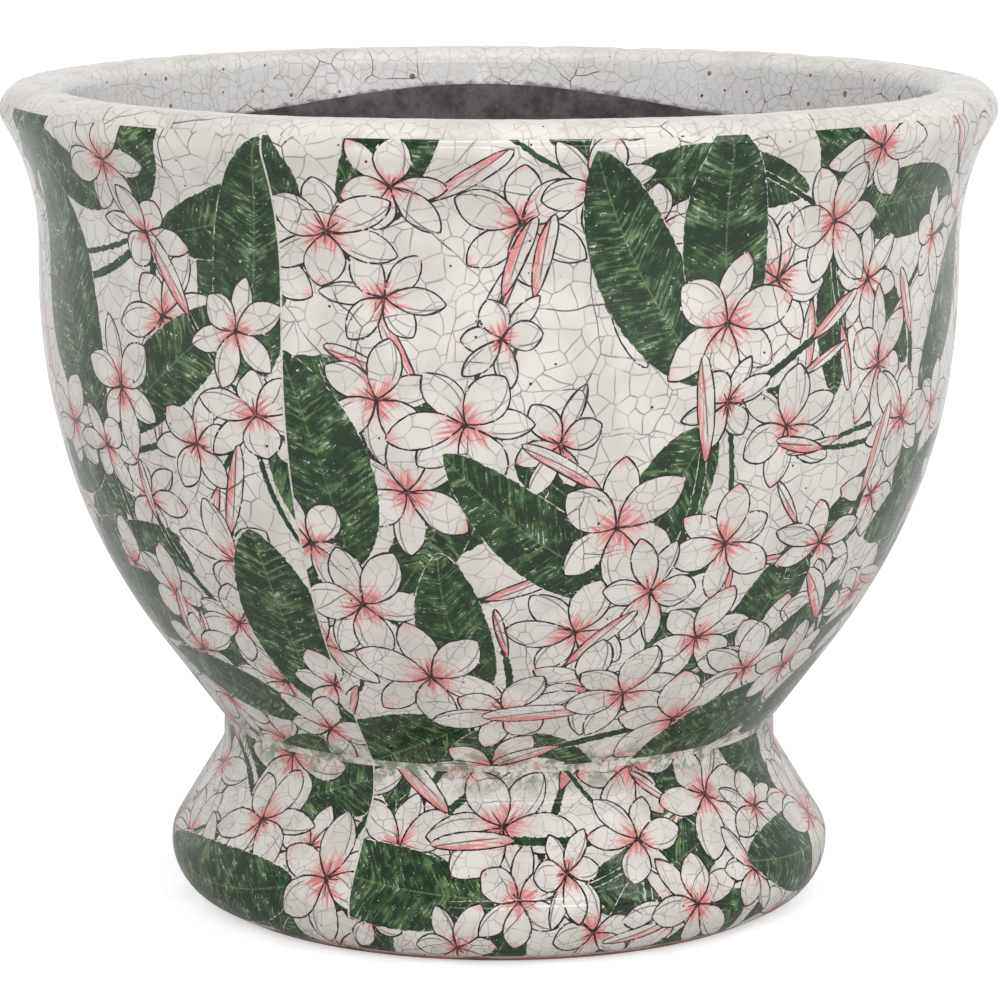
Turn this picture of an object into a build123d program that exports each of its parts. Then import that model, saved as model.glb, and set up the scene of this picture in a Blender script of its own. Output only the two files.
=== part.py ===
from build123d import *
import os
from math import atan2, cos, degrees, radians, sin, sqrt, tan

os.makedirs("parts", exist_ok=True)

# A terracotta planter: a round bowl luted onto a hollow foot, glazed, printed and sealed inside.
# Z is its axis and Z = 0 the floor that it stands on. The front faces -Y. Lengths are millimetres.

# Overall sizes, over the glaze
height = 250.0
rim_radius = 150.0

# Lip, with its outer roll, its crest and its inner edge
lip_width = 18.5
lip_round = 7.1
lip_flat = 0.4
lip_inner_round = 6.0

# Wall, which flares out under the lip and stands upright below the flare
rim_overhang = 10.8
flare_lean = radians(29.3)
flare_round_share = 0.95
wall_thickness = 11.0
inner_flare_round = 60.0

# Bowl, a cone that rounds up into the upright wall
bowl_spread = 54.5
belly_corner_share = 0.373
belly_round_share = 0.82
floor_thickness = 13.0
floor_round = 18.0
drain_radius = 10.0

# Foot, from the crease under the bowl down to the ring that it rests on
crease_height = 56.3
crease_round = 6.0
neck_length = 9.4
neck_round = 6.0
foot_spread = 16.5
foot_shoulder_height = 19.7
foot_roll = 9.7
foot_tuck_share = 0.95
foot_wall = 12.0
foot_inner_round = 8.0
ring_width = 14.0
bare_edge_height = 1.3

# Slip that lutes the foot to the bowl, and the coat of glaze or sealer over the clay
slip_thickness = 1.5
slip_bead = 5.0
coat_thickness = 0.8

# Edge of the glaze inside the mouth, which the brush left wavy and a little lower on one side
dip_depth = 16.2
dip_swing = 4.1
dip_tilt = 1.0
dip_waves = 4
dip_turn = radians(8)
dip_steps = 24

# Printed sheets round the bowl and strips round the foot, each bedded on a film over the glaze
sheet_bed = 0.02
sheet_thickness = 0.28
sheet_count = 3
sheet_seam = radians(-115.6)
sheet_gap = 0.6
sheet_top_drop = 4.5
sheet_bottom_rise = 1.2
strip_top_drop = 0.9
strip_bottom_rise = 1.4

# Radii and heights that follow from the sizes
wall_radius = rim_radius - rim_overhang
neck_radius = wall_radius - bowl_spread
foot_radius = neck_radius + foot_spread
neck_height = crease_height - neck_length
belly_height = crease_height + belly_corner_share * (height - crease_height)
lip_height = height - lip_round * (1 + tan(flare_lean / 2)) - lip_flat
flare_height = lip_height - rim_overhang / tan(flare_lean)
floor_height = crease_height + floor_thickness
foot_top = crease_height - slip_thickness
sheet_rise = sheet_bed + sheet_thickness

# Roundings that fill a share of the room between their neighbours
belly_lean = atan2(bowl_spread, belly_height - crease_height)
shoulder_lean = atan2(foot_spread, neck_height - foot_shoulder_height)
flare_room = rim_overhang / sin(flare_lean) - lip_round * tan(flare_lean / 2)
flare_round = flare_round_share * flare_room / tan(flare_lean / 2)
belly_room = flare_height - flare_round * tan(flare_lean / 2) - belly_height
belly_round = belly_round_share * belly_room / tan(belly_lean / 2)
foot_tuck = foot_tuck_share * (foot_shoulder_height - foot_roll * tan(shoulder_lean / 2))


def moved(corners, rounds, inset):
    """Move an outline to its left by inset, and fit its roundings to it."""
    points = [Vector(*corner) for corner in corners]
    headings = [(end - start).normalized() for start, end in zip(points, points[1:])]
    sides = [Vector(-heading.Y, heading.X) for heading in headings]
    shifted = [points[0] + sides[0] * inset]
    for corner, before, after in zip(points[1:-1], sides, sides[1:]):
        shifted.append(corner + (before + after) * (inset / (1 + before.dot(after))))
    shifted.append(points[-1] + sides[-1] * inset)
    turns = [1 if before.cross(after).Z > 0 else -1 for before, after in zip(headings, headings[1:])]
    fitted = [size - turn * inset if size else 0 for size, turn in zip(rounds, turns)]
    return shifted, fitted


# Inside of the wall, parallel to the outside, down to where it meets the floor
bowl_line = [(neck_radius, crease_height), (wall_radius, belly_height), (wall_radius, flare_height)]
inner_belly = moved(bowl_line, [0], wall_thickness)[0][1]
inner_floor_radius = inner_belly.X - (inner_belly.Y - floor_height) * tan(belly_lean)

# Finished surface in half section, from under the foot, up the outside, over the lip and down inside
surface_corners = [
    (0, 0),
    (foot_radius, 0),
    (foot_radius, foot_shoulder_height),
    (neck_radius, neck_height),
    (neck_radius, crease_height),
    (wall_radius, belly_height),
    (wall_radius, flare_height),
    (rim_radius, lip_height),
    (rim_radius, height),
    (rim_radius - lip_width, height),
    (wall_radius - wall_thickness, flare_height),
    (inner_belly.X, inner_belly.Y),
    (inner_floor_radius, floor_height),
    (0, floor_height),
]


def fill_section(inset, crease=crease_round, mode=Mode.ADD):
    """Fill the half section that lies inward of the finished surface by inset."""
    rounds = [
        foot_tuck,
        foot_roll,
        neck_round,
        crease,
        belly_round,
        flare_round,
        lip_round,
        lip_round,
        lip_inner_round,
        inner_flare_round,
        belly_round - wall_thickness,
        floor_round,
    ]
    points, fitted = moved(surface_corners, rounds, inset)
    with BuildLine() as half:
        surface = FilletPolyline(*points, radius=fitted)
        Line(surface @ 1, surface @ 0)
    make_face(half.edges(), mode=mode)


def keep_band(low, high, near=0):
    """Keep what the sketch holds between two heights and outside a radius."""
    with Locations((near, low)):
        Rectangle(
            rim_radius + sheet_rise, high - low, align=(Align.MIN, Align.MIN), mode=Mode.INTERSECT
        )


def fill_inside(top, mode):
    """Fill what lies inward of the middle of the wall, up to a height."""
    middle, fitted = moved(bowl_line, [belly_round], wall_thickness / 2)
    with BuildLine() as outline:
        wall = FilletPolyline(middle[0], middle[1], (middle[2].X, top), radius=fitted)
        Polyline(wall @ 1, (0, top), (0, (wall @ 0).Y), wall @ 0)
    make_face(outline.edges(), mode=mode)


# Bowl, thrown with its floor and drain hole
with BuildPart() as bowl_body:
    with BuildSketch(Plane.XZ):
        fill_section(coat_thickness, crease=0)
        keep_band(crease_height, height, near=drain_radius)
    revolve(axis=Axis.Z)
bowl_body.part.label = "bowl_body"
export_step(bowl_body.part, "parts/bowl_body.step")

# Foot, hollow and parallel to its outside, with the bare ring that it rests on
ring_reach = sqrt((foot_tuck - coat_thickness) ** 2 - (foot_tuck - bare_edge_height) ** 2)
ring_inner_radius = foot_radius - foot_tuck + ring_reach - ring_width
foot_inner = moved(surface_corners[1:5], [0, 0], foot_wall)[0]
hollow_radius = foot_inner[2].X
with BuildPart() as foot_body:
    with BuildSketch(Plane.XZ):
        fill_section(coat_thickness, crease=0)
        keep_band(bare_edge_height, foot_top)
        with Locations((ring_inner_radius, 0)):
            Rectangle(ring_width, bare_edge_height, align=(Align.MIN, Align.MIN))
        with BuildLine() as hollow:
            inside = FilletPolyline(
                (ring_inner_radius, 0), foot_inner[1], foot_inner[2], (hollow_radius, foot_top),
                radius=foot_inner_round,
            )
            Polyline(inside @ 1, (0, foot_top), (0, 0), inside @ 0)
        make_face(mode=Mode.SUBTRACT)
    revolve(axis=Axis.Z)
foot_body.part.label = "foot_body"
export_step(foot_body.part, "parts/foot_body.step")

# Slip between foot and bowl, squeezed out into a bead on both sides of the joint
clay_crease = moved(surface_corners[3:6], [0], coat_thickness)[0][1]
bead_length = (crease_round + coat_thickness) * tan(belly_lean / 2)
bead_low = clay_crease - Vector(0, bead_length)
bead_high = clay_crease + Vector(sin(belly_lean), cos(belly_lean)) * bead_length
under_bowl = (hollow_radius - slip_bead, crease_height)
on_foot = (hollow_radius, crease_height - slip_bead)
with BuildPart() as slip_joint:
    with BuildSketch(Plane.XZ):
        with BuildLine():
            TangentArc(bead_low, bead_high, tangent=(0, 1))
            Polyline(bead_high, clay_crease, (clay_crease.X, crease_height), under_bowl)
            TangentArc(under_bowl, on_foot, tangent=(1, 0))
            Polyline(on_foot, (hollow_radius, foot_top), (clay_crease.X, foot_top), bead_low)
        make_face()
    revolve(axis=Axis.Z)
slip_joint.part.label = "slip_joint"
export_step(slip_joint.part, "parts/slip_joint.step")

# Glaze on the foot, which stops just above the floor
with BuildPart() as foot_glaze:
    with BuildSketch(Plane.XZ):
        fill_section(0)
        fill_section(coat_thickness, mode=Mode.SUBTRACT)
        keep_band(bare_edge_height, crease_height)
    revolve(axis=Axis.Z)
foot_glaze.part.label = "foot_glaze"
export_step(foot_glaze.part, "parts/foot_glaze.step")

# Wavy surface that parts the glaze from the sealer inside the mouth, with the space above and below it
mouth_radius = wall_radius - wall_thickness
dip_height = height - dip_depth
dip_reach = 2 * (dip_swing + dip_tilt)


def dip_level(x, y):
    """Give the height of the glaze's edge at a place in the mouth."""
    wave = (complex(x, y) / mouth_radius) ** dip_waves
    swing = wave.real * cos(dip_turn) + wave.imag * sin(dip_turn)
    return dip_height + dip_swing * swing - dip_tilt * x / mouth_radius


dip_places = [rim_radius * (2 * step / dip_steps - 1) for step in range(dip_steps + 1)]
dip_grid = [[(x, y, dip_level(x, y)) for y in dip_places] for x in dip_places]
dip_surface = Face.make_surface_from_array_of_points(dip_grid)
with BuildPart() as under_dip:
    extrude(dip_surface, amount=2 * dip_reach, dir=(0, 0, -1))
    Cylinder(mouth_radius + wall_thickness / 2, 2 * height, mode=Mode.INTERSECT)
with BuildPart() as over_dip:
    extrude(dip_surface, amount=2 * dip_reach, dir=(0, 0, 1))
    Cylinder(mouth_radius + wall_thickness / 2, 2 * height, mode=Mode.INTERSECT)

# Glaze on the bowl, over the lip and down to its wavy edge inside the mouth
with BuildPart() as bowl_glaze:
    with BuildSketch(Plane.XZ):
        fill_section(0)
        fill_section(coat_thickness, mode=Mode.SUBTRACT)
        keep_band(crease_height, height)
        fill_inside(dip_height - dip_reach, Mode.SUBTRACT)
    revolve(axis=Axis.Z)
    add(under_dip.part, mode=Mode.SUBTRACT)
bowl_glaze.part.label = "bowl_glaze"
export_step(bowl_glaze.part, "parts/bowl_glaze.step")

# Sealer over the floor and wall inside, up to the glaze
with BuildPart() as inner_sealer:
    with BuildSketch(Plane.XZ):
        fill_section(0)
        fill_section(coat_thickness, mode=Mode.SUBTRACT)
        fill_inside(dip_height + dip_reach, Mode.INTERSECT)
        keep_band(crease_height, height, near=drain_radius)
    revolve(axis=Axis.Z)
    add(over_dip.part, mode=Mode.SUBTRACT)
inner_sealer.part.label = "inner_sealer"
export_step(inner_sealer.part, "parts/inner_sealer.step")


def half_plane(angle):
    """Give the upright plane that leaves the axis at an angle."""
    return Plane((0, 0, 0), x_dir=(cos(angle), sin(angle), 0), z_dir=(sin(angle), -cos(angle), 0))


# Printed sheets, laid side by side round the bowl and round the foot
sheet_step = radians(360) / sheet_count
bands = [
    ("print_sheet", wall_radius, crease_height + sheet_bottom_rise, height - sheet_top_drop),
    ("foot_strip", foot_radius, bare_edge_height + strip_bottom_rise, crease_height - strip_top_drop),
]
for name, radius, low, high in bands:
    gap = sheet_gap / radius
    for number in range(sheet_count):
        with BuildPart() as sheet:
            with BuildSketch(half_plane(sheet_seam + number * sheet_step + gap / 2)):
                fill_section(-sheet_rise)
                fill_section(-sheet_bed, mode=Mode.SUBTRACT)
                fill_inside(height, Mode.SUBTRACT)
                keep_band(low, high)
            revolve(axis=Axis.Z, revolution_arc=degrees(sheet_step - gap))
        sheet.part.label = f"{name}_{number + 1}"
        export_step(sheet.part, f"parts/{sheet.part.label}.step")
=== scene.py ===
from collections import namedtuple
from functools import cached_property
from math import atan2, ceil, cos, pi, radians, sin, sqrt, tan
from random import Random

import bpy
import numpy as np
from mathutils.geometry import delaunay_2d_cdt
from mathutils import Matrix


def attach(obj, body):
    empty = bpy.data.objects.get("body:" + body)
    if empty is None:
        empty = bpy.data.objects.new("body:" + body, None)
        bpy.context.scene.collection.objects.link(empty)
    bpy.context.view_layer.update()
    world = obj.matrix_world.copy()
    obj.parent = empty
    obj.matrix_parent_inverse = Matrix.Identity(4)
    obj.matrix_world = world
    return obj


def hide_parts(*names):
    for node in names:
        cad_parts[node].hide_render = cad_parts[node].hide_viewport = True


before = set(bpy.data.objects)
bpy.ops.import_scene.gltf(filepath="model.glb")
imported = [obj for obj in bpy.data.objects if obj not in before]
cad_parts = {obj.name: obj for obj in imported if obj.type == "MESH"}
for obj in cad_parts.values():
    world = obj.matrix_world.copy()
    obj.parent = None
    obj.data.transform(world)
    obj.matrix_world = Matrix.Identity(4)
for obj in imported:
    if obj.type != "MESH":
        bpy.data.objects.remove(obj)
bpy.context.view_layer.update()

# Lengths here are millimetres, as in the part's source. MM turns them into Blender's metres.
MM = 0.001

# Sizes of the turned outline, the same as the part's
height = 250.0
rim_radius = 150.0
lip_width = 18.5
lip_round = 7.1
lip_flat = 0.4
lip_inner_round = 6.0
rim_overhang = 10.8
flare_lean = radians(29.3)
flare_round_share = 0.95
wall_thickness = 11.0
inner_flare_round = 60.0
bowl_spread = 54.5
belly_corner_share = 0.373
belly_round_share = 0.82
floor_thickness = 13.0
floor_round = 18.0
drain_radius = 10.0
crease_height = 56.3
crease_round = 6.0
neck_length = 9.4
neck_round = 6.0
foot_spread = 16.5
foot_shoulder_height = 19.7
foot_roll = 9.7
foot_tuck_share = 0.95
bare_edge_height = 1.3
coat_thickness = 0.8
dip_depth = 16.2
dip_swing = 4.1
dip_tilt = 1.0
dip_waves = 4
dip_turn = radians(8)
sheet_bed = 0.02
sheet_thickness = 0.28
sheet_count = 3
sheet_seam = radians(-115.6)
sheet_gap = 0.6
sheet_top_drop = 4.5
sheet_bottom_rise = 1.2
strip_top_drop = 0.9
strip_bottom_rise = 1.4

wall_radius = rim_radius - rim_overhang
neck_radius = wall_radius - bowl_spread
foot_radius = neck_radius + foot_spread
neck_height = crease_height - neck_length
belly_height = crease_height + belly_corner_share * (height - crease_height)
lip_height = height - lip_round * (1 + tan(flare_lean / 2)) - lip_flat
flare_height = lip_height - rim_overhang / tan(flare_lean)
floor_height = crease_height + floor_thickness
belly_lean = atan2(bowl_spread, belly_height - crease_height)
shoulder_lean = atan2(foot_spread, neck_height - foot_shoulder_height)
flare_room = rim_overhang / sin(flare_lean) - lip_round * tan(flare_lean / 2)
flare_round = flare_round_share * flare_room / tan(flare_lean / 2)
belly_room = flare_height - flare_round * tan(flare_lean / 2) - belly_height
belly_round = belly_round_share * belly_room / tan(belly_lean / 2)
foot_tuck = foot_tuck_share * (foot_shoulder_height - foot_roll * tan(shoulder_lean / 2))
sheet_rise = sheet_bed + sheet_thickness


# The turned outline

def heading(start, end):
    """Give the unit vector from one point of the half section to the next."""
    way = np.subtract(end, start)
    return way / np.hypot(*way)


def left_of(way):
    return np.array((-way[1], way[0]))


def moved_corner(before, corner, after, inset):
    """Give the corner of an outline that runs inward of this one by inset."""
    first, second = left_of(heading(before, corner)), left_of(heading(corner, after))
    return np.add(corner, (first + second) * (inset / (1 + first @ second)))


inner_belly = moved_corner(
    (neck_radius, crease_height), (wall_radius, belly_height), (wall_radius, flare_height), wall_thickness)
inner_floor_radius = inner_belly[0] - (inner_belly[1] - floor_height) * tan(belly_lean)
surface_corners = [
    (0, 0),
    (foot_radius, 0),
    (foot_radius, foot_shoulder_height),
    (neck_radius, neck_height),
    (neck_radius, crease_height),
    (wall_radius, belly_height),
    (wall_radius, flare_height),
    (rim_radius, lip_height),
    (rim_radius, height),
    (rim_radius - lip_width, height),
    (wall_radius - wall_thickness, flare_height),
    tuple(inner_belly),
    (inner_floor_radius, floor_height),
    (0, floor_height),
]
surface_rounds = [
    foot_tuck, foot_roll, neck_round, crease_round, belly_round, flare_round, lip_round,
    lip_round, lip_inner_round, inner_flare_round, belly_round - wall_thickness, floor_round,
]


def trace(corners, rounds, spacing=0.2):
    """Follow the rounded outline and give the length run, the points and their outward normals."""
    points, normals = [], []

    def run(start, end):
        way = heading(start, end)
        for part in np.arange(0, np.hypot(*np.subtract(end, start)), spacing):
            points.append(start + way * part)
            normals.append((way[1], -way[0]))

    at = np.asarray(corners[0], float)
    for before, corner, after, size in zip(corners, corners[1:], corners[2:], rounds):
        came, goes = heading(before, corner), heading(corner, after)
        turn = atan2(came[0] * goes[1] - came[1] * goes[0], came @ goes)
        side = 1 if turn > 0 else -1
        reach = size * tan(abs(turn) / 2)
        start = corner - came * reach
        run(at, start)
        centre = start + side * size * left_of(came)
        spoke = start - centre
        for part in np.arange(0, abs(turn), spacing / size):
            c, s = cos(side * part), sin(side * part)
            turned = np.array((spoke[0] * c - spoke[1] * s, spoke[0] * s + spoke[1] * c))
            points.append(centre + turned)
            normals.append(side * turned / size)
        at = corner + goes * reach
    run(at, np.asarray(corners[-1], float))
    points, normals = np.array(points), np.array(normals)
    gone = np.concatenate(([0], np.cumsum(np.hypot(*np.diff(points, axis=0).T))))
    return gone, points, normals


line_run, line_points, line_normals = trace(surface_corners, surface_rounds)
crest = int(np.argmax(line_points[:, 1]))
crest_run = line_run[crest]


def run_at_height(level, inside=False):
    """Give how far along the outline a height is reached, on the outside or the inside."""
    part = slice(crest, None) if inside else slice(0, crest)
    heights, gone = line_points[part, 1], line_run[part]
    return np.interp(level, heights[::-1], gone[::-1]) if inside else np.interp(level, heights, gone)


# How many rows the outline needs so that the chords between them stay this close to it
chord_room = 0.03
widest_step = 5.0
line_bend = np.hypot(*np.diff(line_normals, axis=0).T) / np.maximum(np.diff(line_run), 0.01)
row_steps = np.minimum(np.sqrt(8 * chord_room / np.clip(line_bend, 1e-4, 0.2)), widest_step)
line_need = np.concatenate(([0], np.cumsum(np.diff(line_run) / row_steps)))


def rows_between(low, high):
    """Divide a part of the outline into rows, closer together where it bends."""
    first, last = np.interp((low, high), line_run, line_need)
    return np.interp(np.linspace(first, last, ceil(last - first) + 1), line_need, line_run)


# How far the outline runs on the wall unrolled so that shapes on it keep their proportions
reach_steps = np.diff(line_run) / np.maximum((line_points[1:, 0] + line_points[:-1, 0]) / 2, floor_round)
line_reach = np.concatenate(([0], np.cumsum(reach_steps))) * wall_radius


def unrolled(run, angle, beyond):
    """Give the place on the unrolled wall, with how far it is from the edge of the glaze."""
    return np.stack((angle * wall_radius, np.interp(run, line_run, line_reach) + 0 * angle, beyond + 0 * angle), axis=-1)


def on_surface(run, angle, lift=0.0):
    """Give the places, in metres, at a run along the outline and an angle about the axis."""
    normal_r = np.interp(run, line_run, line_normals[:, 0])
    normal_z = np.interp(run, line_run, line_normals[:, 1])
    radius = np.interp(run, line_run, line_points[:, 0]) + normal_r * lift
    level = np.interp(run, line_run, line_points[:, 1]) + normal_z * lift
    return np.stack((radius * np.cos(angle), radius * np.sin(angle), level + 0 * angle), axis=-1) * MM


def waves(angle, run, seed, terms):
    """Give a smooth unevenness between 0 and 1 as a sum of waves round and along the wall."""
    draw = Random(seed)
    total = 0
    for round_waves, length in terms:
        along = run * 2 * pi / length * draw.choice((-1, 1))
        total = total + np.sin(round_waves * angle + along + draw.uniform(0, 2 * pi))
    return 0.5 + 0.5 * total / len(terms)


crease_run = run_at_height(crease_height)


def sunk(run, angle):
    """Give how far hand work left the bowl's wall under its turned outline."""
    fade = np.clip((run - crease_run) / 20, 0, 1)
    return waves(angle, run, 3, [(3, 90), (5, 70), (8, 60), (13, 41)]) * fade * 0.34


def wall_normals(run, angle):
    """Give the outward normals of the wall as hand work left it."""
    along, round_it = 1.0, 0.01
    sides = []
    for more_run, more_angle in ((along, 0), (-along, 0), (0, round_it), (0, -round_it)):
        beside, turned = run + more_run, angle + more_angle
        sides.append(on_surface(beside, turned, -sunk(beside, turned)))
    normals = np.cross(sides[2] - sides[3], sides[0] - sides[1])
    return normals / np.linalg.norm(normals, axis=1, keepdims=True)


# Materials

class Paint:
    """A material whose nodes are added by short calls."""

    def __init__(self, name):
        self.material = bpy.data.materials.new(name)
        self.material.use_nodes = True
        self.tree = self.material.node_tree
        self.shader = self.tree.nodes["Principled BSDF"]
        self.place = self.scaled(self.node("ShaderNodeTexCoord").outputs["Object"], 1 / MM)

    @cached_property
    def flat(self):
        """Give the place on the unrolled wall in millimetres."""
        return self.attribute("glaze_place")

    def feed(self, target, value):
        if isinstance(value, bpy.types.NodeSocket):
            self.tree.links.new(value, target)
        else:
            target.default_value = value

    def node(self, kind, settings=None, inputs=None):
        made = self.tree.nodes.new(kind)
        for key, value in (settings or {}).items():
            setattr(made, key, value)
        for key, value in (inputs or {}).items():
            self.feed(made.inputs[key], value)
        return made

    def maths(self, operation, *values, clamp=False):
        settings = {"operation": operation, "use_clamp": clamp}
        return self.node("ShaderNodeMath", settings, dict(enumerate(values))).outputs[0]

    def scaled(self, vector, factor):
        return self.node("ShaderNodeVectorMath", {"operation": "SCALE"}, {0: vector, "Scale": factor}).outputs[0]

    def joined(self, x, y, z):
        return self.node("ShaderNodeCombineXYZ", None, {0: x, 1: y, 2: z}).outputs[0]

    def parts(self, vector):
        return self.node("ShaderNodeSeparateXYZ", None, {0: vector}).outputs

    def added(self, first, second):
        return self.node("ShaderNodeVectorMath", {"operation": "ADD"}, {0: first, 1: second}).outputs[0]

    def step(self, value, low, high):
        """Rise smoothly from 0 at low to 1 at high, or fall where high is the smaller."""
        settings = {"interpolation_type": "SMOOTHSTEP"}
        if isinstance(low, float) and isinstance(high, float) and low > high:
            inputs = {"Value": value, 1: high, 2: low, 3: 1.0, 4: 0.0}
        else:
            inputs = {"Value": value, 1: low, 2: high}
        return self.node("ShaderNodeMapRange", settings, inputs).outputs[0]

    def noise(self, vector, size, detail=2.0, roughness=0.5, solid=False):
        """Give a noise whose blots are about as wide as size, in millimetres."""
        inputs = {"Vector": vector, "Scale": 1 / size, "Detail": detail, "Roughness": roughness}
        return self.node("ShaderNodeTexNoise", {"noise_dimensions": "3D" if solid else "2D"}, inputs)

    def cells(self, vector, size, feature):
        inputs = {"Vector": vector, "Scale": 1 / size}
        return self.node("ShaderNodeTexVoronoi", {"feature": feature, "voronoi_dimensions": "2D"}, inputs)

    def mix(self, share, first, second, blend="MIX"):
        settings = {"data_type": "RGBA", "blend_type": blend}
        made = self.node("ShaderNodeMix", settings)
        for socket, value in ((made.inputs[0], share), (made.inputs[6], first), (made.inputs[7], second)):
            self.feed(socket, value)
        return made.outputs[2]

    def attribute(self, name):
        return self.node("ShaderNodeAttribute", {"attribute_name": name}).outputs["Vector"]


def colour(red, green, blue):
    """Turn a screen colour of 0 to 255 into the linear values that a node takes."""
    parts = [value / 255 for value in (red, green, blue)]
    return tuple(p / 12.92 if p <= 0.04045 else ((p + 0.055) / 1.055) ** 2.4 for p in parts) + (1.0,)


white_glaze = colour(227, 222, 216)
grey_glaze = colour(213, 208, 202)
# Inside the mouth: the glaze's own cooler tone, painted lighter than the outer glaze to make up for the shade there
inner_glaze_painted_lighter = colour(234, 233, 232)
line_grey = colour(118, 104, 108)
line_dark = colour(58, 40, 38)
pin_brown = colour(84, 52, 40)
spot_brown = colour(104, 78, 56)
ink = colour(32, 20, 24)
blush = colour(226, 146, 144)
deep_blush = colour(205, 104, 106)
leaf_dark = colour(24, 47, 27)
leaf_green = colour(42, 73, 41)
leaf_light = colour(112, 137, 92)
smear_green = colour(96, 118, 86)
smear_pink = colour(202, 158, 152)
clay = colour(205, 142, 122)
edge_stain = colour(134, 78, 66)
sealer_dark = colour(62, 55, 55)
sealer_light = colour(104, 98, 98)


def crackle(paint, size):
    """Give the cracks in the glaze, long ones with finer ones between them, and the ones that dirt has filled."""
    long_crack, short_crack = 21.0 * size, 6.0 * size
    wander = paint.noise(paint.flat, 14.0, detail=1.0).outputs["Color"]
    spot = paint.added(paint.flat, paint.scaled(wander, 5.0))
    coarse = paint.maths(
        "MULTIPLY", paint.cells(spot, long_crack, "DISTANCE_TO_EDGE").outputs["Distance"], long_crack)
    piece = paint.cells(spot, long_crack, "F1").outputs["Color"]
    inner = paint.added(spot, paint.scaled(piece, 60.0))
    fine = paint.maths(
        "MULTIPLY", paint.cells(inner, short_crack, "DISTANCE_TO_EDGE").outputs["Distance"], short_crack)
    patch = paint.noise(paint.flat, 26.0, detail=1.0).outputs["Fac"]
    wide = paint.step(coarse, 0.32, 0.06)
    narrow = paint.step(fine, 0.30, 0.05)
    narrow = paint.maths("MULTIPLY", narrow, paint.maths("MULTIPLY_ADD", paint.step(patch, 0.30, 0.62), 0.4, 0.6))
    filled = paint.maths("MULTIPLY", paint.step(coarse, 0.26, 0.10), paint.step(patch, 0.60, 0.63))
    faint = paint.step(paint.noise(paint.flat, 6.0, detail=2.0).outputs["Fac"], 0.34, 0.60)
    net = paint.maths("MULTIPLY", paint.maths("MAXIMUM", wide, narrow), paint.maths("MULTIPLY_ADD", faint, 0.5, 0.5))
    return net, filled


def pinholes(paint, size, radius, share):
    """Give small dark dots, about one to each cell of the size, in a share of the cells."""
    dots = paint.cells(paint.flat, size, "F1")
    distance = paint.maths("MULTIPLY", dots.outputs["Distance"], size)
    chosen = paint.step(paint.parts(dots.outputs["Color"])[0], 1 - share, 1 - share + 0.01)
    spread = paint.maths("MULTIPLY_ADD", paint.parts(dots.outputs["Color"])[1], radius, radius * 0.4)
    inside = paint.maths("LESS_THAN", distance, spread)
    return paint.maths("MULTIPLY", inside, chosen)


def glazed(paint, tint, lines=0.78, line_colour=line_grey, pins=0.15, pin_size=7.0, pin_radius=0.34, crack_size=1.0):
    """Lay crackle, pinholes, gloss and the hand-made unevenness over a colour."""
    net, filled = crackle(paint, crack_size)
    tint = paint.mix(paint.maths("MULTIPLY", net, lines), tint, line_colour)
    tint = paint.mix(paint.maths("MULTIPLY", filled, 0.75), tint, line_dark)
    holes = pinholes(paint, pin_size, pin_radius, pins)
    tint = paint.mix(holes, tint, pin_brown)
    paint.feed(paint.shader.inputs["Base Color"], tint)
    soft = paint.noise(paint.flat, 24.0, detail=1.0).outputs["Fac"]
    fine = paint.noise(paint.flat, 2.2, detail=2.0).outputs["Fac"]
    depth = paint.maths("MULTIPLY_ADD", net, -0.05, paint.maths("MULTIPLY", soft, 0.9))
    depth = paint.maths("MULTIPLY_ADD", fine, 0.03, depth)
    depth = paint.maths("MULTIPLY_ADD", holes, -0.25, depth)
    bump = paint.node("ShaderNodeBump", None, {"Strength": 0.6, "Distance": MM, "Height": depth})
    paint.feed(paint.shader.inputs["Normal"], bump.outputs[0])
    rough = paint.maths("MULTIPLY_ADD", fine, 0.08, 0.05)
    rough = paint.maths("MULTIPLY_ADD", net, 0.15, rough)
    paint.feed(paint.shader.inputs["Roughness"], rough)
    paint.shader.inputs["IOR"].default_value = 1.5
    return paint.material


def glaze_ground(paint):
    """Give the off-white of the glaze, clouded, with a breath of the leaves' green in the crease."""
    cloud = paint.noise(paint.flat, 20.0, detail=3.0).outputs["Fac"]
    tint = paint.mix(paint.step(cloud, 0.36, 0.66), white_glaze, grey_glaze)
    level = paint.parts(paint.place)[2]
    low_edge = paint.maths("MULTIPLY", paint.step(level, 6.0, 1.2), paint.step(cloud, 0.54, 0.60))
    tint = paint.mix(paint.maths("MULTIPLY", low_edge, 0.75), tint, edge_stain)
    near_crease = paint.step(paint.maths("ABSOLUTE", paint.maths("SUBTRACT", level, crease_height)), 10.0, 1.0)
    blot = paint.noise(paint.flat, 8.0, detail=4.0, roughness=0.65)
    smear = paint.maths("MULTIPLY", near_crease, paint.step(blot.outputs["Fac"], 0.42, 0.58))
    pink = paint.step(paint.parts(blot.outputs["Color"])[1], 0.54, 0.60)
    return paint.mix(paint.maths("MULTIPLY", smear, 0.80), tint, paint.mix(pink, smear_green, smear_pink))


# Shapes of the print: a petal, leaf, bud or stem widens and narrows as its along ** rise * (1 - along) ** fall
Shape = namedtuple("Shape", "kind across along turn length width bend seed stretch")
Profile = namedtuple("Profile", "rise fall steps")
profiles = {
    "petal": Profile(0.92, 0.76, 10),
    "bud": Profile(0.62, 0.50, 8),
    "leaf": Profile(0.60, 0.66, 14),
    "stem": Profile(0.08, 0.08, 10),
    "hair": Profile(0.10, 0.30, 4),
}
kinds = list(profiles)


def widest(kind):
    profile = profiles[kind]
    peak = profile.rise / (profile.rise + profile.fall)
    return peak ** profile.rise * (1 - peak) ** profile.fall


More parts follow.
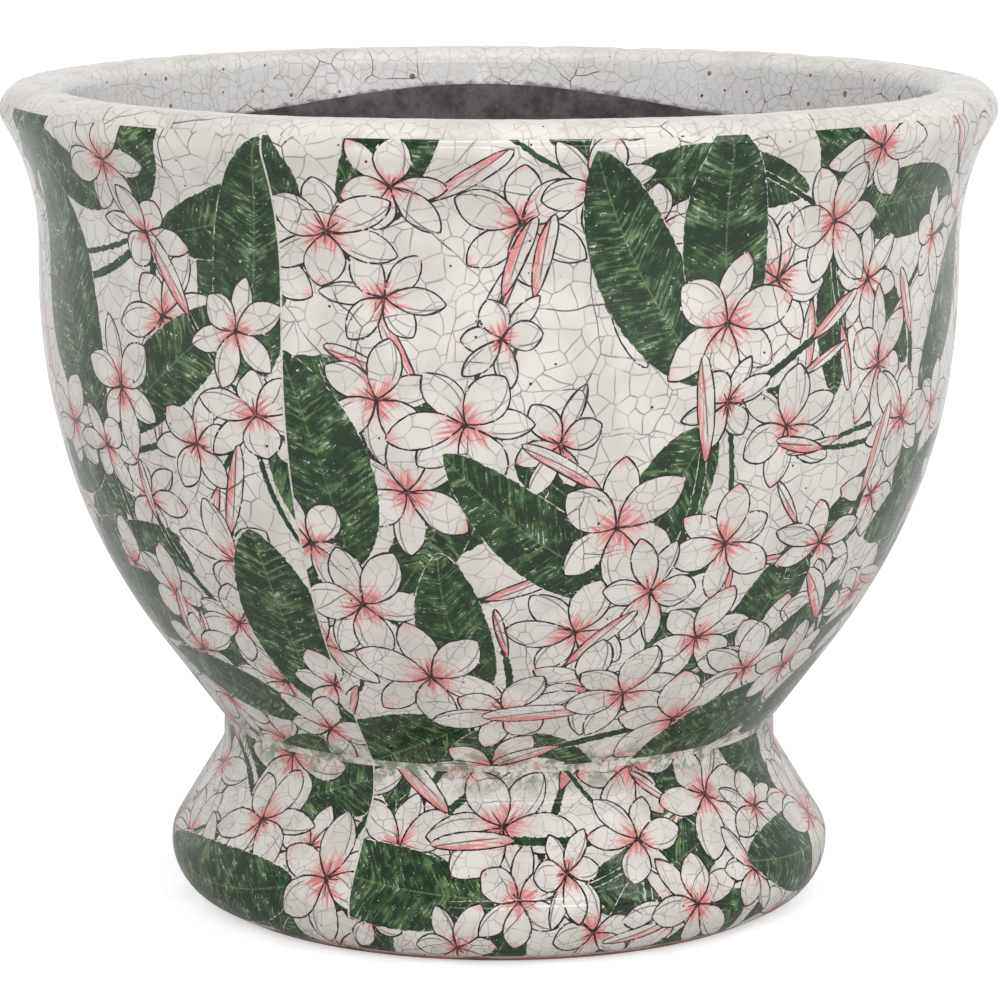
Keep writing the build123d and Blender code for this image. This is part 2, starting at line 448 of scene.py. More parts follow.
def shape_outline(shape):
    """Give the closed outline of a shape in the print's plan."""
    profile = profiles[shape.kind]
    shares = (1 - np.cos(np.linspace(0, pi, profile.steps + 1))) / 2
    half = shape.width * shares ** profile.rise * (1 - shares) ** profile.fall / widest(shape.kind)
    along = np.concatenate((shares, shares[-2:0:-1])) * shape.length
    across = np.concatenate((half, -half[-2:0:-1])) + shape.bend * along ** 2
    x = along * cos(shape.turn) + across * sin(shape.turn)
    y = along * sin(shape.turn) - across * cos(shape.turn)
    outline = np.stack((shape.across + x * shape.stretch, shape.along + y), axis=1)
    return outline


def shape_place(shape, points):
    """Give how far points lie across and along a shape, each as a share of its width and length."""
    x = (points[:, 0] - shape.across) / shape.stretch
    y = points[:, 1] - shape.along
    along = x * cos(shape.turn) + y * sin(shape.turn)
    across = x * sin(shape.turn) - y * cos(shape.turn) - shape.bend * along ** 2
    return across / shape.width, along / shape.length


class Print:
    """The shapes on one sheet, first the lowest. Its plan is the wall unrolled at one radius."""

    def __init__(self, width, low, high, radius, seed):
        self.width, self.low, self.high, self.radius = width, low, high, radius
        self.random = Random(seed)
        self.shapes = []

    def add(self, kind, place, turn, length, width, bend=0.0):
        across, along = place
        here = np.interp(along, line_run, line_points[:, 0])
        seed = self.random.random() * 50
        self.shapes.append(Shape(kind, across, along, turn, length, width, bend, seed, self.radius / here))

    def off(self, place, turn, distance):
        """Give the place at a real distance from another on the wall."""
        along = place[1] + sin(turn) * distance
        here = np.interp(place[1], line_run, line_points[:, 0])
        return place[0] + cos(turn) * distance * self.radius / here, along

    def blossom(self, place, size):
        """Six petals, three over three, seen more or less from the side, with stamens in its throat."""
        draw = self.random
        first = draw.uniform(0, 2 * pi)
        lean, squeeze = draw.uniform(0, pi), draw.uniform(0.60, 1.0)
        away = np.array((cos(lean), sin(lean)))
        for number in (0, 2, 4, 1, 3, 5):
            turn = first + number * pi / 3 + draw.uniform(-0.16, 0.16)
            way = np.array((cos(turn), sin(turn)))
            seen = way - away * (way @ away) * (1 - squeeze)
            share = np.hypot(*seen)
            length = size * share * draw.uniform(0.88, 1.10)
            wide = size * (0.31 if number % 2 else 0.26) * squeeze / share
            self.add("petal", place, atan2(seen[1], seen[0]), length, wide, draw.uniform(-0.008, 0.008))
        for _ in range(draw.randint(2, 5)):
            long = size * draw.uniform(0.14, 0.30)
            self.add("hair", place, draw.uniform(0, 2 * pi), long, 0.26, draw.uniform(-0.03, 0.03))

    def spray(self, place, turn, blossoms):
        """Leaves behind, twigs that end in buds, and a close cluster of blossoms over them."""
        draw = self.random
        for number in draw.sample(range(3), draw.choice((2, 2, 3))):
            angle = turn + pi + (number - 1) * 1.15 + draw.uniform(-0.4, 0.4)
            length = draw.uniform(46, 84)
            wide = length * draw.uniform(0.16, 0.22)
            start = self.off(place, angle, draw.uniform(2, 12))
            self.add("leaf", start, angle, length, wide, draw.uniform(-0.006, 0.006))
        for number in draw.sample(range(4), 3):
            angle = turn + (number - 1.5) * 0.72 + draw.uniform(-0.3, 0.3)
            reach = draw.uniform(22, 40)
            bend = draw.uniform(-0.011, 0.011)
            self.add("stem", place, angle, reach + 3, draw.uniform(0.9, 1.7), bend)
            bud = self.off(self.off(place, angle, reach), angle - pi / 2, bend * reach ** 2)
            long = draw.uniform(18, 32)
            leaning = angle - 2 * bend * reach
            self.add("bud", bud, leaning, long, long * draw.uniform(0.09, 0.13), draw.uniform(-0.005, 0.005))
        ring = max(3, blossoms - 1)
        spots = []
        for number in range(ring):
            angle = turn + (number + draw.uniform(-0.2, 0.2)) * 2 * pi / ring
            spots.append(self.off(place, angle, draw.uniform(22, 25) + 2.0 * (ring - 3)))
        draw.shuffle(spots)
        for spot in spots[:blossoms - 1] + [place]:
            self.blossom(spot, draw.uniform(16.5, 22.5))


far_off = 100.0
edge_width = 2.6
edge_lift = 0.05


def edged(low, steps, high):
    """Add two more steps at each end of a division, where the sheet thins out."""
    return np.concatenate(([low, low + edge_width / 2], steps, [high - edge_width / 2, high]))


def followed(outline):
    """Divide the sides of a shape's outline where the wall bends under them."""
    need = np.interp(outline[:, 1], line_run, line_need)
    ends = np.roll(outline, -1, axis=0)
    counts = np.maximum(np.ceil(np.abs(np.roll(need, -1) - need)), 1).astype(int)
    sides = [start + (end - start) * np.arange(count)[:, None] / count
             for start, end, count in zip(outline, ends, counts)]
    return np.concatenate(sides)


def sheet_lift(sheet, points):
    """Give how far a sheet's front stands off the glaze, less and less towards its edges."""
    across = np.minimum(points[:, 0], sheet.width - points[:, 0])
    along = np.minimum(points[:, 1] - sheet.low, sheet.high - points[:, 1])
    share = np.clip(np.minimum(across, along) / edge_width, 0, 1)
    return edge_lift + (sheet_rise - edge_lift) * share * share * (3 - 2 * share)


def plan_faces(sheet):
    """Divide a sheet's plan into triangles along every visible outline, with the topmost shape of each."""
    middle = np.array((sheet.width / 2, (sheet.low + sheet.high) / 2))
    even = np.linspace(edge_width, sheet.width - edge_width, round(sheet.width / widest_step))
    wide = edged(0, even, sheet.width)
    tall = edged(sheet.low, rows_between(sheet.low + edge_width, sheet.high - edge_width), sheet.high)
    border = [(x, sheet.low) for x in wide[:-1]] + [(sheet.width, y) for y in tall[:-1]]
    border += [(x, sheet.high) for x in wide[:0:-1]] + [(0.0, y) for y in tall[:0:-1]]
    points, loops = list(border), [list(range(len(border)))]
    for shape in sheet.shapes:
        outline = followed(shape_outline(shape))
        start = len(points)
        points += [tuple(point) for point in outline]
        loops.append(list(range(start, start + len(outline))))
    inner = [(x, y) for x in wide[1:-1] for y in tall[1:-1]]
    grid = [tuple(np.array(point) + (0.13, 0.07)) for point in inner]
    found = delaunay_2d_cdt([tuple(np.subtract(p, middle)) for p in points + grid], [], loops, 1, 1e-4, True)
    places = np.array([tuple(v) for v in found[0]]) + middle
    faces, tops = [], []
    for face, over in zip(found[2], found[5]):
        if 0 in over:
            faces.append(face)
            tops.append(max(over))
    used = sorted({corner for face in faces for corner in face})
    fresh = {corner: number for number, corner in enumerate(used)}
    faces = [[fresh[corner] for corner in face] for face in faces]
    places = np.clip(places[used], (0, sheet.low), (sheet.width, sheet.high))
    back = delaunay_2d_cdt([tuple(np.subtract(p, middle)) for p in border + inner], [], loops[:1], 1, 1e-4, True)
    back_places = np.array([tuple(v) for v in back[0]]) + middle
    return places, faces, tops, back_places, back[2]


def printed_piece(name, node, sheet, start, rows):
    """Make a thin closed sheet on the glaze, its front cut along the print's outlines."""
    places, faces, tops, back_places, back_faces = plan_faces(sheet)

    def lay(points, lift):
        turned = start + points[:, 0] / sheet.radius
        return on_surface(points[:, 1], turned, lift - sunk(points[:, 1], turned))

    front = lay(places, sheet_lift(sheet, places))
    rear = lay(back_places, 0.0)
    count = len(front)
    rear_faces = [[count + v for v in reversed(face)] for face in back_faces]
    vertices = np.concatenate((front, rear))
    plan = np.concatenate((places, back_places))

    def rim_edges(polygons):
        seen = {}
        for face in polygons:
            for first, second in zip(face, face[1:] + face[:1]):
                if (second, first) in seen:
                    del seen[(second, first)]
                else:
                    seen[(first, second)] = True
        return list(seen)

    key = {tuple(np.round(point, 3)): count + number for number, point in enumerate(back_places)}
    walls = []
    for first, second in rim_edges([list(face) for face in faces]):
        low, high = key.get(tuple(np.round(plan[first], 3))), key.get(tuple(np.round(plan[second], 3)))
        if low is not None and high is not None:
            walls.append([second, first, low, high])
    everything = [list(face) for face in faces] + rear_faces + walls
    mesh = bpy.data.meshes.new(name)
    mesh.from_pydata(vertices.tolist(), [], everything)
    piece = bpy.data.objects.new(name, mesh)
    bpy.context.collection.objects.link(piece)
    for kind in ["ground"] + kinds:
        mesh.materials.append(print_materials[kind])
    here = np.zeros((len(mesh.loops), 3), dtype=np.float32)
    size = np.ones((len(mesh.loops), 3), dtype=np.float32)
    slots = np.zeros(len(mesh.polygons), dtype=np.int32)
    by_top = {}
    for number, top in enumerate(tops):
        by_top.setdefault(top, []).append(number)
    for top, numbers in by_top.items():
        if top == 0:
            continue
        shape = sheet.shapes[top - 1]
        slots[numbers] = 1 + kinds.index(shape.kind)
        corners = np.concatenate([np.arange(3) + 3 * number for number in numbers])
        points = places[np.concatenate([faces[number] for number in numbers])]
        across, along = shape_place(shape, points)
        here[corners] = np.stack((across, along, np.full(len(across), shape.seed)), axis=1)
        size[corners] = (shape.width, shape.length, shape.seed)
    mesh.polygons.foreach_set("material_index", slots)
    for label, values in (("print_place", here), ("print_size", size)):
        layer = mesh.attributes.new(label, "FLOAT_VECTOR", "CORNER")
        layer.data.foreach_set("vector", values.ravel())
    mesh.polygons.foreach_set("use_smooth", [True] * len(mesh.polygons))
    corner_points = np.empty(len(mesh.loops), dtype=np.int32)
    mesh.loops.foreach_get("vertex_index", corner_points)
    across, along = plan[corner_points, 0] / sheet.width, (plan[corner_points, 1] - sheet.low) / (sheet.high - sheet.low)
    layer = mesh.uv_layers.new(name="OFBake")
    row = np.minimum((across * rows).astype(int), rows - 1)
    first_corner = np.repeat([p.loop_start for p in mesh.polygons], [p.loop_total for p in mesh.polygons])
    row = row[first_corner]
    uv = np.stack((across * rows - row, (row + along * 0.96 + 0.02) / rows), axis=1)
    uv[3 * len(faces):] = uv[3 * len(faces):] * (0.01, 0.001)
    layer.data.foreach_set("uv", uv.astype(np.float32).ravel())
    turned = start + plan[:, 0] / sheet.radius
    layer = mesh.attributes.new("glaze_place", "FLOAT_VECTOR", "POINT")
    layer.data.foreach_set("vector", unrolled(plan[:, 1], turned, far_off).astype(np.float32).ravel())
    normals = wall_normals(plan[:, 1], turned)
    normals[count:] *= -1
    mesh.normals_split_custom_set_from_vertices(normals.tolist())
    mesh.validate(clean_customdata=False)
    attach(piece, "root")
    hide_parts(node)
    return piece


def shape_distance(paint, kind):
    """Give a place's distance inside its shape's edge in millimetres, with its coordinates."""
    profile = profiles[kind]
    across, along, seed = paint.parts(paint.attribute("print_place"))
    wide, length, _ = paint.parts(paint.attribute("print_size"))
    share = paint.maths("MINIMUM", paint.maths("MAXIMUM", along, 0.004), 0.996)
    rest = paint.maths("SUBTRACT", 1.0, share)
    half = paint.maths("MULTIPLY", paint.maths("POWER", share, profile.rise), paint.maths("POWER", rest, profile.fall))
    half = paint.maths("DIVIDE", half, widest(kind))
    slope = paint.maths("SUBTRACT", paint.maths("DIVIDE", profile.rise, share), paint.maths("DIVIDE", profile.fall, rest))
    slope = paint.maths("MULTIPLY", paint.maths("MULTIPLY", half, slope), paint.maths("DIVIDE", wide, length))
    gap = paint.maths("MULTIPLY", paint.maths("SUBTRACT", half, paint.maths("ABSOLUTE", across)), wide)
    steep = paint.maths("SQRT", paint.maths("MULTIPLY_ADD", slope, slope, 1.0))
    return paint.maths("DIVIDE", gap, steep), across, along, seed, wide, length, half


def ink_line(paint, distance, width):
    """Give the pen line inside an edge, uneven and broken here and there."""
    sway = paint.noise(paint.flat, 5.0, detail=3.0).outputs["Fac"]
    edge = paint.maths("MULTIPLY_ADD", sway, width * 1.3, width * 0.35)
    line = paint.step(paint.maths("SUBTRACT", distance, edge), 0.10, -0.10)
    gaps = paint.step(paint.noise(paint.flat, 3.4, detail=3.0, roughness=0.7).outputs["Fac"], 0.30, 0.38)
    return paint.maths("MULTIPLY", line, gaps)


def streaks(paint, across, along, seed, wide, length, thin, long):
    """Give noise drawn out along a shape."""
    vector = paint.joined(
        paint.maths("MULTIPLY", across, paint.maths("DIVIDE", wide, thin)),
        paint.maths("MULTIPLY", along, paint.maths("DIVIDE", length, long)), seed)
    return paint.node("ShaderNodeTexNoise", None, {"Vector": vector, "Scale": 1.0, "Detail": 2.0}).outputs["Fac"]


def petal_paint(kind="petal"):
    """White petals with pink rays out of the throat, a pen line round them and a folded edge on some."""
    paint = Paint("print_" + kind)
    distance, across, along, seed, wide, length, half = shape_distance(paint, kind)
    ground = glaze_ground(paint)
    rays = streaks(paint, across, along, seed, wide, length, 0.7, 11.0)
    reach = paint.maths("MULTIPLY_ADD", rays, -0.85, along)
    throat = paint.step(reach, -0.03, -0.29)
    chance = paint.maths("FRACT", seed)
    tip = paint.step(paint.maths("MULTIPLY_ADD", rays, 0.25, along), 0.92, 1.08)
    tip = paint.maths("MULTIPLY", tip, paint.step(chance, 0.5, 0.9))
    warm = paint.maths("MAXIMUM", throat, paint.maths("MULTIPLY", tip, 0.7))
    tint = paint.mix(paint.maths("MULTIPLY", warm, 0.85), ground, blush)
    tint = paint.mix(paint.maths("MULTIPLY", paint.step(reach, -0.16, -0.38), 0.7), tint, deep_blush)
    fold = paint.maths("ABSOLUTE", paint.maths("SUBTRACT", across, paint.maths("MULTIPLY", half, 0.60)))
    fold = paint.step(paint.maths("MULTIPLY", fold, wide), 0.30, 0.12)
    fold = paint.maths("MULTIPLY", fold, paint.maths("MULTIPLY", paint.step(along, 0.30, 0.42), paint.step(chance, 0.62, 0.58)))
    line = paint.maths("MAXIMUM", ink_line(paint, distance, 0.60), paint.maths("MULTIPLY", fold, 0.7))
    tint = paint.mix(line, tint, ink)
    tint = paint.mix(paint.maths("MULTIPLY", paint.step(along, 0.075, 0.03), 0.8), tint, ink)
    return glazed(paint, tint, lines=0.62)


def bud_paint():
    """A rolled bud, pink streaks on white with a twisted pen line down it."""
    paint = Paint("print_bud")
    distance, across, along, seed, wide, length, half = shape_distance(paint, "bud")
    rays = streaks(paint, across, along, seed, wide, length, 0.7, 9.0)
    shade = paint.maths("MULTIPLY_ADD", across, 0.30, rays)
    tint = paint.mix(paint.step(shade, 0.33, 0.51), blush, glaze_ground(paint))
    tint = paint.mix(paint.maths("MULTIPLY", paint.step(along, 0.30, 0.05), 0.7), tint, deep_blush)
    twist = paint.maths("MULTIPLY_ADD", paint.maths("SUBTRACT", along, 0.5), 0.7, across)
    middle = paint.maths("ABSOLUTE", paint.maths("MULTIPLY", twist, wide))
    inner = paint.maths("MULTIPLY", paint.step(middle, 0.32, 0.10), paint.step(along, 0.16, 0.30))
    line = paint.maths("MAXIMUM", ink_line(paint, distance, 0.54), paint.maths("MULTIPLY", inner, 0.8))
    return glazed(paint, paint.mix(line, tint, ink), lines=0.55)


def leaf_paint(kind):
    """Dark green with lighter brush strokes along the side veins, and bare flecks where the print is worn."""
    paint = Paint("print_" + kind)
    distance, across, along, seed, wide, length, half = shape_distance(paint, kind)
    ground = glaze_ground(paint)
    blot = paint.noise(paint.flat, 7.0, detail=5.0, roughness=0.65).outputs["Fac"]
    tint = paint.mix(paint.step(blot, 0.40, 0.64), leaf_dark, leaf_green)
    if kind == "leaf":
        over = paint.maths("MULTIPLY", paint.maths("ABSOLUTE", across), wide)
        slant = paint.maths("MULTIPLY_ADD", over, -0.55, paint.maths("MULTIPLY", along, length))
        vector = paint.joined(paint.maths("MULTIPLY", slant, 0.9), paint.maths("MULTIPLY", over, 0.16), seed)
        veins = paint.node("ShaderNodeTexNoise", None, {"Vector": vector, "Scale": 1.0, "Detail": 4.0}).outputs["Fac"]
        strokes = paint.step(paint.maths("MULTIPLY_ADD", blot, 0.5, veins), 0.72, 0.94)
        pale = paint.step(paint.noise(paint.flat, 19.0, detail=2.0).outputs["Fac"], 0.36, 0.62)
        strokes = paint.maths("MULTIPLY", strokes, paint.maths("MULTIPLY_ADD", pale, 0.65, 0.25))
        tint = paint.mix(strokes, tint, leaf_light)
        rib = paint.maths("MULTIPLY", paint.step(over, 0.42, 0.12), paint.step(veins, 0.34, 0.50))
        tint = paint.mix(paint.maths("MULTIPLY", rib, 0.55), tint, leaf_light)
        scratch = paint.noise(vector, 0.5, detail=3.0, roughness=0.75, solid=True).outputs["Fac"]
        worn = paint.step(paint.maths("MULTIPLY_ADD", blot, 0.45, scratch), 0.87, 0.93)
        tint = paint.mix(paint.maths("MULTIPLY", worn, 0.85), tint, ground)
    flecks = paint.noise(paint.flat, 1.6, detail=3.0, roughness=0.6).outputs["Fac"]
    tint = paint.mix(paint.step(flecks, 0.715, 0.75), tint, ground)
    ragged = paint.maths("MULTIPLY_ADD", paint.noise(paint.flat, 2.0, detail=3.0).outputs["Fac"], -1.3, distance)
    tint = paint.mix(paint.step(ragged, -0.36, -0.56), tint, ground)
    return glazed(paint, tint, lines=0.22, line_colour=leaf_dark)


def hair_paint():
    paint = Paint("print_hair")
    blot = paint.noise(paint.flat, 2.0, detail=2.0).outputs["Fac"]
    tint = paint.mix(paint.step(blot, 0.35, 0.85), ink, deep_blush)
    return glazed(paint, tint, lines=0.3)


def ground_paint():
    paint = Paint("print_ground")
    tint = glaze_ground(paint)
    flecks = paint.noise(paint.flat, 1.1, detail=3.0, roughness=0.6).outputs["Fac"]
    tint = paint.mix(paint.maths("MULTIPLY", paint.step(flecks, 0.69, 0.77), 0.5), tint, line_grey)
    return glazed(paint, tint)


def rim_paint():
    """The bowl's glaze: creamy on the lip; inside the mouth cooler and more pitted, and painted lighter than outside
    to make up for the shade in the mouth.
    """
    paint = Paint("rim_glaze")
    tint = glaze_ground(paint)
    x, y, level = paint.parts(paint.place)
    radius = paint.maths("SQRT", paint.maths("MULTIPLY_ADD", x, x, paint.maths("MULTIPLY", y, y)))
    inside = paint.step(radius, rim_radius - lip_width + 3.0, rim_radius - lip_width - 0.5)
    inside = paint.maths("MULTIPLY", inside, paint.step(level, lip_height - 60, lip_height - 50))
    # Painted light: inside the mouth the glaze is lightened past the outer glaze's white to make up for the shade
    # there; its cooler tone is the glaze's own
    tint = paint.mix(paint.maths("MULTIPLY", inside, 0.85), tint, inner_glaze_painted_lighter)
    blot = paint.noise(paint.flat, 5.0, detail=4.0, roughness=0.6).outputs["Fac"]
    tint = paint.mix(paint.maths("MULTIPLY", paint.step(blot, 0.58, 0.72), 0.22), tint, colour(170, 150, 138))
    beyond = paint.maths("MULTIPLY_ADD", blot, 6.0, paint.parts(paint.flat)[2])
    soiled = paint.maths("MULTIPLY", paint.step(beyond, 4.6, 2.4), 0.8)
    tint = paint.mix(soiled, tint, sealer_light)
    spots = paint.maths("MULTIPLY", pinholes(paint, 9.0, 0.85, 0.36), inside)
    tint = paint.mix(paint.maths("MULTIPLY", spots, 0.85), tint, spot_brown)
    return glazed(
        paint, tint, lines=0.48, line_colour=colour(140, 124, 120), pins=0.06, pin_size=9.0, pin_radius=0.5, crack_size=0.66)


def sealer_paint():
    paint = Paint("dark_sealer")
    blot = paint.noise(paint.place, 9.0, detail=6.0, roughness=0.7, solid=True).outputs["Fac"]
    tint = paint.mix(paint.step(blot, 0.35, 0.65), sealer_dark, sealer_light)
    specks = paint.noise(paint.place, 1.8, detail=3.0, roughness=0.7, solid=True).outputs["Fac"]
    tint = paint.mix(paint.maths("MULTIPLY", paint.step(specks, 0.58, 0.72), 0.5), tint, colour(58, 44, 42))
    tint = paint.mix(paint.maths("MULTIPLY", paint.step(specks, 0.36, 0.28), 0.4), tint, colour(160, 150, 146))
    paint.feed(paint.shader.inputs["Base Color"], tint)
    bump = paint.node("ShaderNodeBump", None, {"Strength": 0.7, "Distance": 0.6 * MM, "Height": blot})
    paint.feed(paint.shader.inputs["Normal"], bump.outputs[0])
    paint.feed(paint.shader.inputs["Roughness"], paint.maths("MULTIPLY_ADD", specks, 0.25, 0.42))
    return paint.material


def clay_paint():
    paint = Paint("bare_clay")
    grain = paint.noise(paint.place, 1.3, detail=5.0, roughness=0.7, solid=True).outputs["Fac"]
    broad = paint.noise(paint.place, 14.0, detail=3.0, solid=True).outputs["Fac"]
    tint = paint.mix(paint.step(broad, 0.35, 0.65), clay, colour(160, 106, 88))
    tint = paint.mix(paint.maths("MULTIPLY", paint.step(grain, 0.56, 0.72), 0.5), tint, colour(120, 74, 62))
    paint.feed(paint.shader.inputs["Base Color"], tint)
    bump = paint.node("ShaderNodeBump", None, {"Strength": 0.8, "Distance": 0.5 * MM, "Height": grain})
    paint.feed(paint.shader.inputs["Normal"], bump.outputs[0])
    paint.feed(paint.shader.inputs["Roughness"], paint.maths("MULTIPLY_ADD", grain, 0.2, 0.75))
    return paint.material


print_materials = {
    "ground": ground_paint(),
    "petal": petal_paint(),
    "bud": bud_paint(),
    "leaf": leaf_paint("leaf"),
    "stem": leaf_paint("stem"),
    "hair": hair_paint(),
}
rim_material = rim_paint()
sealer_material = sealer_paint()
clay_material = clay_paint()


# Printed sheets and strips

def spread_sprays(sheet, spots):
    """Lay a large single leaf behind each spray, then the sprays over them."""
    draw = sheet.random
    places = [(sheet.width * spot[0], sheet.low + (sheet.high - sheet.low) * spot[1]) for spot in spots]
    for place, spot in zip(places, spots):
        angle = radians(spot[2]) + draw.choice((-1, 1)) * draw.uniform(1.0, 2.0)
        length = draw.uniform(34, 62)
        start = sheet.off(place, angle, draw.uniform(10, 20))
        sheet.add("leaf", start, angle, length, length * draw.uniform(0.15, 0.20), draw.uniform(-0.006, 0.006))
    for place, spot in zip(places, spots):
        sheet.spray(place, radians(spot[2]), spot[3])


sheet_low = run_at_height(crease_height + sheet_bottom_rise)
sheet_high = run_at_height(height - sheet_top_drop)
strip_low = run_at_height(bare_edge_height + strip_bottom_rise)
strip_high = run_at_height(crease_height - strip_top_drop)

# Where each spray starts on a sheet: shares of its width and height, heading in degrees and blossoms
sheet_sprays = [
    [(0.05, 0.86, -60, 4), (0.30, 0.93, 200, 4), (0.56, 0.86, -150, 4), (0.82, 0.84, 200, 4),
     (0.18, 0.60, 60, 5), (0.44, 0.62, -30, 3), (0.70, 0.56, 140, 4), (0.94, 0.50, 80, 4),
     (0.06, 0.32, -20, 3), (0.38, 0.34, 40, 5), (0.64, 0.28, 110, 4), (0.22, 0.12, 20, 4),
     (0.48, 0.08, 160, 4), (0.76, 0.12, 60, 4), (0.95, 0.18, 80, 3)],
    [(0.06, 0.60, 30, 4), (0.24, 0.86, -110, 4), (0.50, 0.90, 200, 3), (0.76, 0.86, -40, 4),
     (0.36, 0.56, 170, 5), (0.62, 0.52, 60, 4), (0.92, 0.58, 95, 4), (0.14, 0.30, 60, 4),
     (0.44, 0.26, -20, 4), (0.74, 0.26, 120, 4), (0.05, 0.08, 20, 3), (0.30, 0.08, 100, 3),
     (0.60, 0.06, -20, 4), (0.90, 0.14, 130, 4)],
    [(0.10, 0.80, -30, 4), (0.34, 0.90, 160, 4), (0.56, 0.86, 210, 4), (0.84, 0.84, -100, 3),
     (0.22, 0.54, 110, 5), (0.48, 0.56, 20, 4), (0.74, 0.52, -60, 4), (0.97, 0.60, 200, 4),
     (0.06, 0.30, 70, 4), (0.36, 0.28, 0, 4), (0.62, 0.26, 140, 4), (0.88, 0.26, 60, 4),
     (0.20, 0.08, 30, 3), (0.48, 0.10, 150, 4), (0.74, 0.08, 80, 4), (0.95, 0.06, -30, 3)],
]
strip_sprays = [
    [(0.06, 0.60, 10, 4), (0.24, 0.35, 80, 4), (0.43, 0.62, 190, 4), (0.62, 0.36, 120, 5),
     (0.81, 0.60, 30, 4), (0.97, 0.40, 60, 3)],
    [(0.10, 0.40, 100, 4), (0.30, 0.62, 0, 4), (0.50, 0.38, 200, 4), (0.72, 0.58, 60, 5), (0.92, 0.40, 140, 4)],
    [(0.05, 0.50, 60, 4), (0.23, 0.36, 160, 4), (0.42, 0.60, -20, 4), (0.62, 0.38, 100, 5),
     (0.80, 0.62, 210, 4), (0.96, 0.40, 20, 3)],
]
sheet_step = 2 * pi / sheet_count
bands = [
    ("print_sheet", wall_radius, sheet_low, sheet_high, sheet_sprays, 1),
    ("foot_strip", foot_radius, strip_low, strip_high, strip_sprays, 2),
]
for name, radius, low, high, sprays, rows in bands:
    gap = sheet_gap / radius
    for number in range(sheet_count):
        sheet = Print((sheet_step - gap) * radius, low, high, radius, 7 + number * 5 + rows)
        spread_sprays(sheet, sprays[number])
        start = sheet_seam + ((number + 1) % sheet_count - 1) * sheet_step + gap / 2
        node = f"{name}_{number + 1}"
        printed_piece(node + "_print", node, sheet, start, rows)


# Glaze and sealer, turned as closed skins with a wavy edge inside the mouth

def dip_level(angle):
    """Give the height of the glaze's edge inside the mouth at an angle."""
    wave = np.cos(dip_waves * angle - dip_turn)
    return dip_height + dip_swing * wave - dip_tilt * np.cos(angle)


dip_height = height - dip_depth
turn_steps = 720
angles = sheet_seam - sheet_step + np.linspace(0, 2 * pi, turn_steps, endpoint=False)
dip_runs = run_at_height(dip_level(angles), inside=True)


def wrapped(runs):
    """Give each row of runs once more at its end, where the turn closes."""
    return [np.append(run + 0 * angles, (run + 0 * angles)[0]) for run in runs]


def beyond_edge(run):
    """Give how far above the glaze's edge inside the mouth a row lies."""
    return np.append(dip_runs, dip_runs[0]) - run


def turned_skin(name, node, runs, lifts, material):
    """Sweep a closed section round the axis. runs and lifts hold a row for each of its points."""
    rows = [on_surface(run + 0 * angles, angles, lift) for run, lift in zip(runs, lifts)]
    vertices = np.concatenate(rows)
    count = len(rows)
    faces = []
    for row in range(count):
        after = (row + 1) % count
        for step in range(turn_steps):
            beside = (step + 1) % turn_steps
            faces.append((row * turn_steps + step, row * turn_steps + beside, after * turn_steps + beside, after * turn_steps + step))
    mesh = bpy.data.meshes.new(name)
    mesh.from_pydata(vertices.tolist(), [], faces)
    mesh.polygons.foreach_set("use_smooth", [True] * len(mesh.polygons))
    mesh.materials.append(material)
    flat = np.stack([unrolled(run, np.append(angles, angles[0] + 2 * pi), beyond_edge(run)) for run in wrapped(runs)])
    after = np.roll(flat, -1, axis=0)
    corners = np.stack((flat[:, :-1], flat[:, 1:], after[:, 1:], after[:, :-1]), axis=2)
    layer = mesh.attributes.new("glaze_place", "FLOAT_VECTOR", "CORNER")
    layer.data.foreach_set("vector", corners.astype(np.float32).ravel())
    piece = bpy.data.objects.new(name, mesh)
    bpy.context.collection.objects.link(piece)
    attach(piece, "root")
    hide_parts(node)
    return piece


def lip_dents(run):
    """Give how far the lip's glaze is sunk by hand work, with small lumps and chips on the crest."""
    lumps = waves(angles, run, 9, [(41, 23), (67, 17), (97, 13), (151, 11)]) * 0.16
    lumps = lumps * np.clip((run - sheet_high) / 4, 0, 1)
    near_crest = np.exp(-((run - crest_run) / 4.0) ** 2)
    chips = np.zeros_like(angles)
    draw = Random(21)
    for _ in range(30):
        middle, wide, deep = draw.uniform(0, 2 * pi), draw.uniform(1.0, 4.0), draw.uniform(0.2, 0.6)
        away = (angles - middle + pi) % (2 * pi) - pi
        chips += deep * np.exp(-(away * rim_radius / wide) ** 2)
    return sunk(run, angles) + lumps + np.minimum(chips, 0.6) * near_crest


# A row close to each end of a section keeps the shading level up to the edge.
end_step = 0.05
outer_runs = np.concatenate((
    [crease_run], rows_between(crease_run + end_step, sheet_high), np.arange(sheet_high + 0.7, crest_run + 14, 0.7)))
section_runs = [run + 0 * angles for run in outer_runs]
last = outer_runs[-1]
for share in np.append(np.linspace(0, 1, 16)[1:-1], (0.99, 1)):
    section_runs.append(last + (dip_runs - last) * share)
section_lifts = [-lip_dents(run) for run in section_runs]
back_runs = section_runs[::-1]
runs = section_runs + back_runs
lifts = section_lifts + [-coat_thickness + 0 * angles] * len(back_runs)
turned_skin("bowl_glaze_coat", "bowl_glaze", runs, lifts, rim_material)

floor_end = np.interp(-drain_radius, -line_points[crest:, 0], line_run[crest:])
sealer_shares = np.insert(np.linspace(0, 1, 90), 1, 0.0004)
section_runs = [dip_runs + (floor_end - dip_runs) * share for share in sealer_shares]
runs = section_runs + section_runs[::-3]
lifts = [0 * angles] * len(section_runs) + [-coat_thickness + 0 * angles] * len(section_runs[::-3])
turned_skin("dark_sealer_coat", "inner_sealer", runs, lifts, sealer_material)

foot_low = run_at_height(bare_edge_height)
foot_runs = np.concatenate(([foot_low], rows_between(foot_low + end_step, crease_run - end_step), [crease_run]))
section_runs = [run + 0 * angles for run in foot_runs]
runs = section_runs + section_runs[::-1]
lifts = [0 * angles] * len(section_runs) + [-coat_thickness + 0 * angles] * len(section_runs)
turned_skin("foot_glaze_coat", "foot_glaze", runs, lifts, rim_material)

